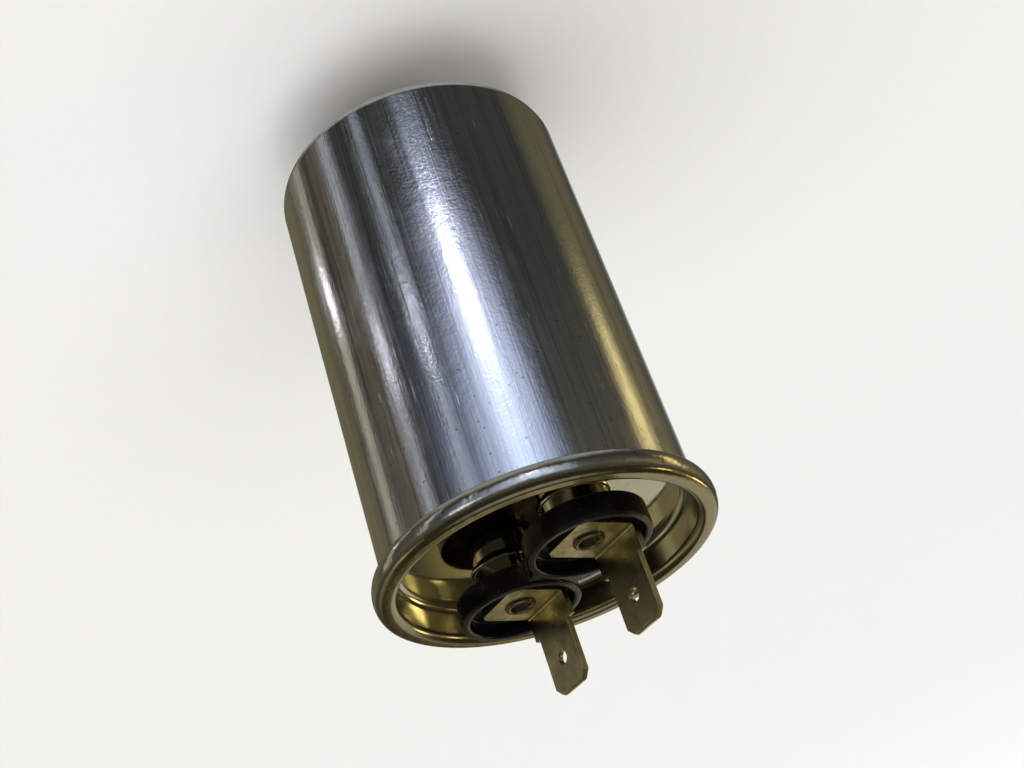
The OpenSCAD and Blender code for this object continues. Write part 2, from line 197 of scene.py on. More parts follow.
class Stage(bpy.types.PropertyGroup):
    camera: FloatVectorProperty(
        name="Camera", description="Place of the camera", default=(-0.1154, -0.0998, 0.1301),
        subtype="XYZ", unit="LENGTH")
    aim: FloatVectorProperty(
        name="Aim", description="Point that the camera looks at", default=(-0.001, 0.003, 0.037),
        subtype="XYZ", unit="LENGTH")
    roll: degrees("Roll", "Turn of the camera about its line of sight", 199.5)
    lens: FloatProperty(name="Lens", description="Focal length", default=48.0, unit="CAMERA")
    sweep: length("Sweep", "Radius of the pale sweep round the object", 900)


class CapacitorSettings(bpy.types.PropertyGroup):
    can: PointerProperty(type=CanSizes)
    lid: PointerProperty(type=LidSizes)
    block: PointerProperty(type=BlockSizes)
    tab: PointerProperty(type=TabSizes)
    rivet: PointerProperty(type=RivetSizes)
    label: PointerProperty(type=LabelSizes)
    finish: PointerProperty(type=Finishes)
    stage: PointerProperty(type=Stage)


# Shapes


def arc(centre, radius, start, end):
    """Points of an arc from one angle to another, in degrees."""
    steps = math.ceil(BEND_STEPS * abs(end - start) / 90)
    angles = [math.radians(start + (end - start) * step / steps) for step in range(steps + 1)]
    return [(centre[0] + radius * math.cos(a), centre[1] + radius * math.sin(a)) for a in angles]


def revolve(profile, axis_x=0.0, start=0.0, turn=math.tau, steps=TURN_STEPS, cut=None):
    """Closed mesh of a profile of radius and height turned about an upright axis.
    The function cut, where given, changes a point's radius by its radius, height and angle."""
    whole = turn == math.tau
    columns = steps if whole else steps + 1
    mesh = bmesh.new()
    rings = []
    for radius, height in profile:
        if radius == 0:
            rings.append([mesh.verts.new((axis_x, 0, height))] * columns)
            continue
        ring = []
        for column in range(columns):
            angle = start + turn * column / steps
            reach = cut(radius, height, angle) if cut else radius
            point = (axis_x + reach * math.cos(angle), reach * math.sin(angle), height)
            ring.append(mesh.verts.new(point))
        rings.append(ring)
    for here, after in zip(rings, rings[1:] + rings[:1]):
        for column in range(steps):
            beside = (column + 1) % columns
            corners = dict.fromkeys((here[column], here[beside], after[beside], after[column]))
            if len(corners) > 2:
                mesh.faces.new(tuple(corners))
    if not whole:
        mesh.faces.new([ring[0] for ring in rings])
        mesh.faces.new([ring[-1] for ring in rings])
    bmesh.ops.recalc_face_normals(mesh, faces=mesh.faces)
    return mesh


def prism(outline, low, high, place):
    """Closed mesh between two copies of an outline, where place gives the point for u, v and depth."""
    mesh = bmesh.new()
    ends = [[mesh.verts.new(place(u, v, depth)) for u, v in outline] for depth in (low, high)]
    for end in ends:
        mesh.faces.new(end)
    for index in range(len(outline)):
        mesh.faces.new((ends[0][index - 1], ends[0][index], ends[1][index], ends[1][index - 1]))
    bmesh.ops.recalc_face_normals(mesh, faces=mesh.faces)
    return mesh


def make_object(name, mesh):
    """New object in the scene from a bmesh."""
    data = bpy.data.meshes.new(name)
    mesh.to_mesh(data)
    mesh.free()
    made = bpy.data.objects.new(name, data)
    bpy.context.collection.objects.link(made)
    return made


def combine(piece, tool_mesh, operation):
    """Works a second mesh into a piece as a union, a cut or an intersection."""
    tool = make_object("tool", tool_mesh)
    step = piece.modifiers.new("work", "BOOLEAN")
    step.operation = operation
    step.solver = "EXACT"
    step.object = tool
    graph = bpy.context.evaluated_depsgraph_get()
    worked = bpy.data.meshes.new_from_object(piece.evaluated_get(graph))
    if not worked.polygons:
        raise RuntimeError(f"{operation} left nothing of {piece.name}")
    piece.modifiers.clear()
    piece.data, spent = worked, piece.data
    worked.name = piece.name
    bpy.data.meshes.remove(spent)
    # The tool's object goes with its mesh
    bpy.data.meshes.remove(tool.data)


def dress(piece, material, nodes, edge=0.0):
    """Smooths a piece, rounds its sharp edges, and lets it stand for CAD nodes with its own finish."""
    piece.data.shade_smooth()
    if edge:
        rounding = piece.modifiers.new("pressed_edges", "BEVEL")
        rounding.width = edge
        rounding.segments = 2
        rounding.limit_method = "ANGLE"
        rounding.angle_limit = SHARP_ANGLE
    else:
        piece.data.set_sharp_from_angle(angle=SHARP_ANGLE)
    even = piece.modifiers.new("even_normals", "WEIGHTED_NORMAL")
    even.keep_sharp = True
    piece.data.materials.clear()
    piece.data.materials.append(material)
    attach(piece, BODY)
    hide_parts(*nodes)


# Materials


def add(tree, kind, inputs=None, **settings):
    """Adds a shader node of a kind with its settings, and sets or links each named input."""
    made = tree.nodes.new("ShaderNode" + kind)
    for name, value in settings.items():
        setattr(made, name, value)
    for name, value in (inputs or {}).items():
        if isinstance(value, bpy.types.NodeSocket):
            tree.links.new(value, made.inputs[name])
        else:
            made.inputs[name].default_value = value
    return made


def start_material(name):
    """New material with an empty node tree, and its object coordinates in metres."""
    material = bpy.data.materials.new(name)
    material.use_nodes = True
    tree = material.node_tree
    tree.nodes.clear()
    return material, tree, add(tree, "TexCoord").outputs["Object"]


def finish_material(material, inputs):
    """Ends a material's tree with its surface shader and the output."""
    surface = add(material.node_tree, "BsdfPrincipled", inputs)
    add(material.node_tree, "OutputMaterial", {"Surface": surface.outputs["BSDF"]})
    return material


def grain(*sizes):
    """Scale that makes one unit of a pattern the given size in millimetres, or sizes along the axes."""
    scales = [1 / (size * MM) for size in sizes]
    return scales if len(scales) > 1 else scales[0]


def shade(rgb, share=1.0):
    """Four-channel colour from a linear one, scaled by a share."""
    return [channel * share for channel in rgb] + [1]


def drawn_aluminium(colours):
    """Impact-extruded aluminium: nearly a mirror, drawn out in fine lines along the can, which smear
    each highlight round it. Handling leaves a mottle, faint smudges, pin-point specks and a few
    hairline scratches."""
    material, tree, where = start_material("drawn_aluminium")
    # The real lines are about 0.1 mm apart, drawn two and a half times coarser to show
    lines = add(tree, "Mapping", {"Vector": where, "Scale": grain(0.25, 0.25, 18)})
    line = add(tree, "TexNoise", {
        "Vector": lines.outputs[0], "Scale": 1, "Detail": 3, "Roughness": 0.65})
    bands = add(tree, "Mapping", {"Vector": where, "Scale": grain(1.6, 1.6, 60)})
    band = add(tree, "TexNoise", {"Vector": bands.outputs[0], "Scale": 1, "Detail": 2})
    smudge = add(tree, "TexNoise", {
        "Vector": where, "Scale": grain(7), "Detail": 4, "Roughness": 0.6})
    mottle = add(tree, "TexNoise", {"Vector": where, "Scale": grain(1.3), "Detail": 1})
    peel = add(tree, "TexNoise", {"Vector": where, "Scale": grain(0.4), "Detail": 2})
    speck = add(tree, "TexVoronoi", {"Vector": where, "Scale": grain(1.7), "Randomness": 1})
    dot = add(tree, "MapRange", {
        "Value": speck.outputs["Distance"], "From Min": 0.05, "From Max": 0.11,
        "To Min": 1, "To Max": 0})
    # The real scratches are about 0.05 mm wide, drawn five times wider to show
    hairs = add(tree, "Mapping", {
        "Vector": where, "Rotation": (0.5, 0.3, 0.0), "Scale": grain(0.25, 0.25, 6)})
    hair = add(tree, "TexNoise", {"Vector": hairs.outputs[0], "Scale": 1, "Detail": 1})
    scratch = add(tree, "MapRange", {
        "Value": hair.outputs["Fac"], "From Min": 0.74, "From Max": 0.80})
    streaks = add(tree, "Math", {0: line.outputs["Fac"], 1: band.outputs["Fac"]},
                  operation="ADD")
    rough = add(tree, "MapRange", {
        "Value": streaks.outputs[0], "From Min": 0.75, "From Max": 1.3, "To Min": 0.08, "To Max": 0.17})
    smeared = add(tree, "MapRange", {
        "Value": smudge.outputs["Fac"], "From Min": 0.4, "From Max": 0.75, "To Max": 0.08})
    marks = add(tree, "Math", {0: scratch.outputs[0], 1: 0.15, 2: smeared.outputs[0]},
                operation="MULTIPLY_ADD")
    roughness = add(tree, "Math", {0: rough.outputs[0], 1: marks.outputs[0]}, operation="ADD")
    tone = add(tree, "ValToRGB", {"Fac": streaks.outputs[0]})
    for stop, position, share in zip(tone.color_ramp.elements, (0.7, 1.0), (0.72, 1.0)):
        stop.position = position
        stop.color = shade(colours.aluminium, share)
    spotted = add(tree, "Mix", {
        "Factor": dot.outputs[0], "A": tone.outputs["Color"], "B": shade(colours.aluminium, 0.45)},
        data_type="RGBA")
    drawn = add(tree, "Math", {0: line.outputs["Fac"], 1: 0.5, 2: band.outputs["Fac"]},
                operation="MULTIPLY_ADD")
    waves = add(tree, "Math", {0: mottle.outputs["Fac"], 1: 0.7, 2: drawn.outputs[0]},
                operation="MULTIPLY_ADD")
    peeled = add(tree, "Math", {0: peel.outputs["Fac"], 1: 0.7, 2: waves.outputs[0]},
                 operation="MULTIPLY_ADD")
    relief = add(tree, "Math", {0: scratch.outputs[0], 1: -0.6, 2: peeled.outputs[0]},
                 operation="MULTIPLY_ADD")
    bump = add(tree, "Bump", {
        "Height": relief.outputs[0], "Strength": 0.5, "Distance": 0.03 * MM})
    around = add(tree, "Tangent", direction_type="RADIAL", axis="Z")
    return finish_material(material, {
        "Base Color": spotted.outputs["Result"], "Metallic": 1, "Roughness": roughness.outputs[0],
        "Anisotropic": 0.75, "Tangent": around.outputs[0], "Normal": bump.outputs[0]})


# Where the lid's finish changes, in millimetres from its wall, the can's wall and the seam's top
WALL_SCUFF = (-0.9, -0.1)
RIM_DENTS = (-0.4, 0.8)
# Along the seam's top the tinplate is rougher, and its colour darker as painted shade
CREST_WEAR_AND_SHADE = (-0.8, -0.1)


def bright_tinplate(colours, seam):
    """Cold-rolled steel with a bright tin coat: a warm mirror with faint cloudy smears and a few
    specks. Drawing scuffs the wall, handling dulls the seam's crest, whose colour is darkened
    further as painted shade, and the seaming rolls leave shallow dents on the rim."""
    material, tree, where = start_material("bright_tinplate")
    wave = add(tree, "TexNoise", {"Vector": where, "Scale": grain(5), "Detail": 1})
    cloud = add(tree, "TexNoise", {
        "Vector": where, "Scale": grain(1.4), "Detail": 5, "Roughness": 0.7})
    dent = add(tree, "TexNoise", {"Vector": where, "Scale": grain(1.6), "Detail": 2})
    dust = add(tree, "TexVoronoi", {"Vector": where, "Scale": grain(2.6), "Randomness": 1})
    speck = add(tree, "MapRange", {
        "Value": dust.outputs["Distance"], "From Min": 0.04, "From Max": 0.09,
        "To Min": 0.7, "To Max": 0})
    level = add(tree, "VectorMath", {0: where, 1: (1, 1, 0)}, operation="MULTIPLY")
    radius = add(tree, "VectorMath", {0: level.outputs[0]}, operation="LENGTH")
    height = add(tree, "SeparateXYZ", {0: where})
    drawn = add(tree, "MapRange", {
        "Value": radius.outputs["Value"], "From Min": seam["wall_inner"] + WALL_SCUFF[0] * MM,
        "From Max": seam["wall_inner"] + WALL_SCUFF[1] * MM, "To Max": 0.10})
    rim = add(tree, "MapRange", {
        "Value": radius.outputs["Value"], "From Min": seam["can_radius"] + RIM_DENTS[0] * MM,
        "From Max": seam["can_radius"] + RIM_DENTS[1] * MM})
    crest = add(tree, "MapRange", {
        "Value": height.outputs["Z"], "From Min": seam["top"] + CREST_WEAR_AND_SHADE[0] * MM,
        "From Max": seam["top"] + CREST_WEAR_AND_SHADE[1] * MM})
    rough = add(tree, "MapRange", {
        "Value": cloud.outputs["Fac"], "From Min": 0.35, "From Max": 0.75,
        "To Min": 0.04, "To Max": 0.12})
    scuffed = add(tree, "Math", {0: rough.outputs[0], 1: drawn.outputs[0]}, operation="ADD")
    worn = add(tree, "Math", {0: crest.outputs[0], 1: 0.05, 2: scuffed.outputs[0]},
               operation="MULTIPLY_ADD")
    clear = add(tree, "Mix", {
        "Factor": cloud.outputs["Fac"], "A": shade(colours.tinplate),
        "B": shade(colours.tinplate, 0.75)}, data_type="RGBA")
    dusty = add(tree, "Mix", {
        "Factor": speck.outputs[0], "A": clear.outputs["Result"], "B": shade(colours.tinplate, 0.25)},
        data_type="RGBA")
    # Darker olive-grey colour along the seam's crest: painted shade over real wear
    tone = add(tree, "Mix", {
        "Factor": crest.outputs[0], "A": dusty.outputs["Result"], "B": shade(colours.crest)},
        data_type="RGBA")
    dents = add(tree, "Math", {0: dent.outputs["Fac"], 1: rim.outputs[0]},
                operation="MULTIPLY")
    relief = add(tree, "Math", {0: dents.outputs[0], 1: 6, 2: wave.outputs["Fac"]},
                 operation="MULTIPLY_ADD")
    bump = add(tree, "Bump", {
        "Height": relief.outputs[0], "Strength": 0.2, "Distance": 0.05 * MM})
    return finish_material(material, {
        "Base Color": tone.outputs["Result"], "Metallic": 1, "Roughness": worn.outputs[0],
        "Normal": bump.outputs[0]})


def moulded_phenolic(colours):
    """Black phenolic pressed in a polished mould: glossy, with a faint orange peel, fine dust and
    rubbed patches."""
    material, tree, where = start_material("moulded_phenolic")
    peel = add(tree, "TexNoise", {"Vector": where, "Scale": grain(0.9), "Detail": 2})
    rub = add(tree, "TexNoise", {
        "Vector": where, "Scale": grain(3), "Detail": 5, "Roughness": 0.65})
    dust = add(tree, "TexVoronoi", {"Vector": where, "Scale": grain(0.8)})
    grit = add(tree, "MapRange", {
        "Value": dust.outputs["Distance"], "From Min": 0.04, "From Max": 0.10,
        "To Min": 0.3, "To Max": 0})
    rough = add(tree, "MapRange", {
        "Value": rub.outputs["Fac"], "From Min": 0.35, "From Max": 0.7, "To Min": 0.2, "To Max": 0.4})
    tone = add(tree, "Mix", {
        "Factor": grit.outputs[0], "A": shade(colours.phenolic), "B": shade(colours.dust)},
        data_type="RGBA")
    bump = add(tree, "Bump", {
        "Height": peel.outputs["Fac"], "Strength": 0.25, "Distance": 0.02 * MM})
    return finish_material(material, {
        "Base Color": tone.outputs["Result"], "Roughness": rough.outputs[0], "Normal": bump.outputs[0]})


def tinned_brass(name, metal):
    """Brass with a dull tin coat: pale and warm, with rolling lines, grey stains and worn spots."""
    material, tree, where = start_material(name)
    # The real rolling lines are about 0.05 mm apart, drawn five times coarser to show
    rolled = add(tree, "Mapping", {"Vector": where, "Scale": grain(0.25, 0.25, 5)})
    line = add(tree, "TexNoise", {"Vector": rolled.outputs[0], "Scale": 1, "Detail": 2})
    stain = add(tree, "TexNoise", {
        "Vector": where, "Scale": grain(2.2), "Detail": 5, "Roughness": 0.7})
    rough = add(tree, "MapRange", {
        "Value": stain.outputs["Fac"], "From Min": 0.3, "From Max": 0.7,
        "To Min": 0.22, "To Max": 0.46})
    tone = add(tree, "ValToRGB", {"Fac": stain.outputs["Fac"]})
    for stop, position, share in zip(tone.color_ramp.elements, (0.35, 0.75), (1.0, 0.6)):
        stop.position = position
        stop.color = shade(metal, share)
    bump = add(tree, "Bump", {
        "Height": line.outputs["Fac"], "Strength": 0.3, "Distance": 0.02 * MM})
    return finish_material(material, {
        "Base Color": tone.outputs["Color"], "Metallic": 1, "Roughness": rough.outputs[0],
        "Normal": bump.outputs[0]})


def metallised_film(colours):
    """Polyester film with a metal coat, brushed round the can: satin silver, with a slight ripple of
    the glue."""
    material, tree, where = start_material("metallised_film")
    # The real brushing is about 0.05 mm fine, drawn four times coarser to show
    brushed = add(tree, "Mapping", {"Vector": where, "Scale": grain(18, 18, 0.2)})
    line = add(tree, "TexNoise", {"Vector": brushed.outputs[0], "Scale": 1, "Detail": 3})
    ripple = add(tree, "TexNoise", {"Vector": where, "Scale": grain(4), "Detail": 2})
    rough = add(tree, "MapRange", {
        "Value": line.outputs["Fac"], "From Min": 0.3, "From Max": 0.7, "To Min": 0.26, "To Max": 0.4})
    tone = add(tree, "Mix", {
        "Factor": line.outputs["Fac"], "A": shade(colours.film), "B": shade(colours.film, 0.8)},
        data_type="RGBA")
    height = add(tree, "Math", {0: ripple.outputs["Fac"], 1: 1.5, 2: line.outputs["Fac"]},
                 operation="MULTIPLY_ADD")
    bump = add(tree, "Bump", {
        "Height": height.outputs[0], "Strength": 0.25, "Distance": 0.02 * MM})
    return finish_material(material, {
        "Base Color": tone.outputs["Result"], "Metallic": 1, "Roughness": rough.outputs[0],
        "Normal": bump.outputs[0]})


# Finishes of the pieces inside: light and dark colour, size of the pattern along x, y and z in
# millimetres, roughness, and whether it is a metal. The pattern is what its making leaves.
INNER_FINISHES = {
    # Poured and set: dull, faintly lumpy
    "sealing_compound": ("#7d6f58", "#5c513f", (1.0, 1.0, 1.0), 0.6, 0),
    # Black with a fine dull bloom
    "moulded_rubber": ("#2e2e30", "#1f1f20", (0.6, 0.6, 0.6), 0.65, 0),
    # Pressed from paper and resin: brown, with the paper's fibres in thin layers
    "laminated_phenolic": ("#8f5f36", "#6e4524", (3.0, 0.5, 0.15), 0.45, 0),
    # Rolled, punched and dipped: a warm dull mirror with lines along the lug
    "tinned_lug_brass": ("#d8cfac", "#a89f82", (0.3, 3.0, 0.3), 0.35, 1),
    # Extruded over the wire: an even colour with faint flow lines along it
    "red_wire_insulation": ("#b8452c", "#96351f", (0.8, 0.8, 4.0), 0.4, 0),
    "blue_wire_insulation": ("#2f5fa8", "#244b88", (0.8, 0.8, 4.0), 0.4, 0),
    # Milky and waxy, with soft clouds
    "moulded_polypropylene": ("#eceae2", "#dcd9cf", (4.0, 4.0, 4.0), 0.42, 0),
    # Satin silver, with fine lines round the roll
    "wound_metallised_film": ("#cfd3d2", "#a9aeae", (6.0, 6.0, 0.3), 0.25, 1),
    # Ivory, with flow lines along the tube
    "extruded_polypropylene": ("#e9e4d6", "#d6cfbd", (1.0, 1.0, 12.0), 0.45, 0),
    # Blown on as droplets: grey, coarse and grainy
    "sprayed_zinc": ("#9a9ea2", "#6d7174", (0.35, 0.35, 0.35), 0.7, 1),
    # Moulded thin: pale and cool, with long clouds up the wall
    "thin_wall_polypropylene": ("#d8e2e4", "#c3d0d3", (3.0, 3.0, 8.0), 0.35, 0),
}
INNER_PIECES = {
    "seam_seal": "sealing_compound",
    "gasket_a": "moulded_rubber",
    "gasket_b": "moulded_rubber",
    "inner_plate": "laminated_phenolic",
    "lug_a": "tinned_lug_brass",
    "lug_b": "tinned_lug_brass",
    "lead_short": "red_wire_insulation",
    "lead_long": "blue_wire_insulation",
    "top_holder": "moulded_polypropylene",
    "winding": "wound_metallised_film",
    "core_tube": "extruded_polypropylene",
    "spray_top": "sprayed_zinc",
    "spray_bottom": "sprayed_zinc",
    "liner_cup": "thin_wall_polypropylene",
}


def inner_finish(name):
    """Material of a piece inside the can: its two tones along its pattern, and a fine relief."""
    light, dark, sizes, roughness, metallic = INNER_FINISHES[name]
    material, tree, where = start_material(name)
    mapped = add(tree, "Mapping", {"Vector": where, "Scale": grain(*sizes)})
    pattern = add(tree, "TexNoise", {"Vector": mapped.outputs[0], "Scale": 1, "Detail": 4})
    tone = add(tree, "Mix", {
        "Factor": pattern.outputs["Fac"], "A": shade(linear(light)), "B": shade(linear(dark))},
        data_type="RGBA")
    bump = add(tree, "Bump", {
        "Height": pattern.outputs["Fac"], "Strength": 0.4, "Distance": 0.05 * MM})
    return finish_material(material, {
        "Base Color": tone.outputs["Result"], "Metallic": metallic, "Roughness": roughness,
        "Normal": bump.outputs[0]})


# Pieces


def seam_layers(lid, can):
    """Radii and levels of the folded seam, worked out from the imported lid's and can's boxes."""
    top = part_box("lid")[1].z
    body_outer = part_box("can")[1].x
    gap = lid.layer_gap
    outer = body_outer + gap + lid.sheet
    body_inner = body_outer - can.wall
    cover_outer = body_inner - gap
    can_radius = cover_outer - lid.sheet - gap
    body_bend = (body_inner - can_radius) / 2
    cover_bend = (body_outer + gap - cover_outer) / 2
    return {
        "top": top,
        "outer": outer,
        "can_radius": can_radius,
        "body_inner": body_inner,
        "body_outer": body_outer,
        "cover_inner": can_radius + gap,
        "cover_outer": cover_outer,
        "wall_inner": can_radius - can.wall - gap - lid.sheet,
        "body_bend": body_bend,
        "body_centre": (can_radius + body_bend, top - lid.sheet - gap - body_bend - can.wall),
        "cover_bend": cover_bend,
        "cover_centre": (cover_outer + cover_bend, top - lid.seam_height + cover_bend + lid.sheet),
    }


class CAPACITOR_OT_can(bpy.types.Operator):
    """Makes the extruded can: threaded stud, rounded base, wall and its edge folded into the seam"""
    bl_idname = "capacitor.can"
    bl_label = "Can and stud"

    def execute(self, context):
        settings = context.scene.capacitor
        can = settings.can
        seam = seam_layers(settings.lid, can)
        stud = next(mount for mount in frame["record"]["mounts"] if mount["name"] == "stud")
        stud_radius = stud["dims"]["r_mm"] * MM
        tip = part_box("can")[0].z
        radius = seam["can_radius"]
        bore = radius - can.wall
        hook_end = seam["cover_centre"][1] + settings.lid.layer_gap
        depth = THREAD_DEPTH * can.thread_pitch

        def thread(reach, height, angle):
            """Radius that the thread's groove, the end chamfer and the run-out leave of the stud."""
            if height > 0 or reach > stud_radius:
                return reach
            turn = (height / can.thread_pitch - angle / math.tau) % 1
            from_root = abs(2 * turn - 1)
            flank = (from_root - ROOT_FLAT) / (1 - ROOT_FLAT - CREST_FLAT)
            flank = min(max(flank, 0), 1)
            groove = depth * (1 - flank * flank * (3 - 2 * flank))
            fade = min(max(-height / can.run_out, 0), 1)
            return min(reach, stud_radius - groove * fade)

        rows = round(-tip / can.thread_pitch * THREAD_STEPS)
        stud_rings = []
        for row in range(rows + 1):
            height = tip * (1 - row / rows)
            chamfer_limit = stud_radius - can.stud_chamfer + height - tip
            stud_rings.append((min(stud_radius, chamfer_limit), height))
        profile = (
            [(0, tip)] + stud_rings
            + arc((radius - can.base_edge, can.base_edge), can.base_edge, -90, 0)
            + arc(seam["body_centre"], seam["body_bend"], 180, 0)
            + [(seam["body_inner"], hook_end), (seam["body_outer"], hook_end)]
            + arc(seam["body_centre"], seam["body_bend"] + can.wall, 0, 180)
            + arc((bore - can.inner_edge, can.base + can.inner_edge), can.inner_edge, 0, -90)
            + [(0, can.base)])
        piece = make_object("extruded_can", revolve(profile, cut=thread))
        dress(piece, drawn_aluminium(settings.finish), ["can"])
        return {"FINISHED"}


class CAPACITOR_OT_lid(bpy.types.Operator):
    """Makes the tinplate lid: sunk panel with two necks, wall, and its edge rolled into the seam"""
    bl_idname = "capacitor.lid"
    bl_label = "Lid and seam"

    def execute(self, context):
        settings = context.scene.capacitor
        lid = settings.lid
        seam = seam_layers(lid, settings.can)
        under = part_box("lid")[0].z
        panel = under + lid.sheet
        wall = seam["wall_inner"]
        lip = lid.lip_bend + lid.sheet
        crown = lid.crown_bend + lid.sheet
        panel_centre = (wall - lid.panel_bend, panel + lid.panel_bend)
        lip_centre = (wall + lip, seam["top"] - lip)
        crown_z = seam["top"] - crown
        crown_centre = (seam["outer"] - crown, crown_z)
        hook_end = seam["body_centre"][1] - lid.layer_gap
        # The swollen outer wall is an arc that runs on from the crown and from the bend under it
        low_bend, low_z = seam["cover_bend"] + lid.sheet, seam["cover_centre"][1]
        swell_z = (crown_z + low_z) / 2 + lid.swell * (crown - low_bend) / (crown_z - low_z)
        swell = crown + ((crown_z - swell_z) ** 2 + lid.swell ** 2) / (2 * lid.swell)
        swell_centre = (seam["outer"] + lid.swell - swell, swell_z)
        swell_top = math.degrees(math.asin((crown_z - swell_z) / (swell - crown)))
        swell_low = math.degrees(math.asin((swell_z - low_z) / (swell - low_bend)))
        profile = (
            [(0, under)]
            + arc(panel_centre, lid.panel_bend + lid.sheet, -90, 0)
            + arc(lip_centre, lid.lip_bend, 180, 90)
            + arc(crown_centre, lid.crown_bend, 90, swell_top)
            + arc(swell_centre, swell - lid.sheet, swell_top, -swell_low)[1:-1]
            + arc(seam["cover_centre"], seam["cover_bend"], -swell_low, -180)
            + [(seam["cover_outer"], hook_end), (seam["cover_inner"], hook_end)]
            + arc(seam["cover_centre"], low_bend, 180, 360 - swell_low)
            + arc(swell_centre, swell, -swell_low, swell_top)[1:-1]
            + arc(crown_centre, crown, swell_top, 90)
            + arc(lip_centre, lip, 90, 180)
            + arc(panel_centre, lid.panel_bend, 0, -90)
            + [(0, panel)])
        piece = make_object("rolled_lid", revolve(profile))
        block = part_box("terminal_block")[1]
        neck_top = block.z - settings.block.cup_height

        def neck(inset, foot):
            """Half section of a neck, drawn in from its outside by inset, from the level foot."""
            spread = lid.neck_radius + lid.neck_bend
            top_centre = (lid.neck_radius - lid.neck_bend, neck_top - lid.neck_bend)
            return (
                [(0, foot), (spread, foot)]
                + arc((spread, panel + lid.neck_bend), lid.neck_bend + inset, 270, 180)
                + arc(top_centre, lid.neck_bend - inset, 0, 90)
                + [(0, neck_top - inset)])

        boss = neck(0, panel - lid.sheet / 2)
        hollow = neck(lid.sheet, under - lid.sheet)
        hole = [(0, under), (lid.stem_hole, under), (lid.stem_hole, block.z), (0, block.z)]
        axes = (block.y - block.x, block.x - block.y)
        for axis in axes:
            combine(piece, revolve(boss, axis, steps=SMALL_TURN_STEPS), "UNION")
        for axis in axes:
            combine(piece, revolve(hollow, axis, steps=SMALL_TURN_STEPS), "DIFFERENCE")
            combine(piece, revolve(hole, axis, steps=SMALL_TURN_STEPS), "DIFFERENCE")
        dress(piece, bright_tinplate(settings.finish, seam), ["lid"])
        return {"FINISHED"}


class CAPACITOR_OT_block(bpy.types.Operator):
    """Makes the moulded block: two cups with rounded lips, the waist between them, seats and stems"""
    bl_idname = "capacitor.block"
    bl_label = "Terminal block"

    def execute(self, context):
        settings = context.scene.capacitor
        block = settings.block
        low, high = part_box("terminal_block")
        cup = high.y
        axis = high.x - high.y
        lip = high.z
        base = lip - block.cup_height
        floor = base + block.cup_floor
        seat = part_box("tab_a")[0].z
        inner = cup - block.cup_wall
        edge = block.edge
        lip_inner = min(edge, block.cup_wall - edge)
        profile = (
            [(block.bore, low.z), (block.stem_radius, low.z), (block.stem_radius, base)]
            + arc((cup - edge, base + edge), edge, -90, 0)
            + arc((cup - edge, lip - edge), edge, 0, 90)
            + arc((inner + lip_inner, lip - lip_inner), lip_inner, 90, 180)
            + arc((inner - edge, floor + edge), edge, 0, -90)
            + [(block.seat_radius, floor), (block.seat_radius, seat), (block.bore, seat)])
        piece = make_object("moulded_block", revolve(profile, axis))
        combine(piece, revolve(profile, -axis), "UNION")
        # The waist ends inside the cups' walls
        waist_y = math.sqrt((cup + block.waist) ** 2 - axis ** 2)
        toward = math.degrees(math.atan2(waist_y, axis))
        middle = cup - block.cup_wall / 2
        outline = (
            arc((axis, 0), middle, 180 + toward, 180 - toward)
            + arc((0, waist_y), block.waist, -toward, toward - 180)
            + arc((-axis, 0), middle, toward, -toward)
            + arc((0, -waist_y), block.waist, 180 - toward, toward))
        combine(piece, prism(outline, base, lip - edge, lambda u, v, depth: (u, v, depth)), "UNION")
        dress(piece, moulded_phenolic(settings.finish), ["terminal_block"])
        return {"FINISHED"}


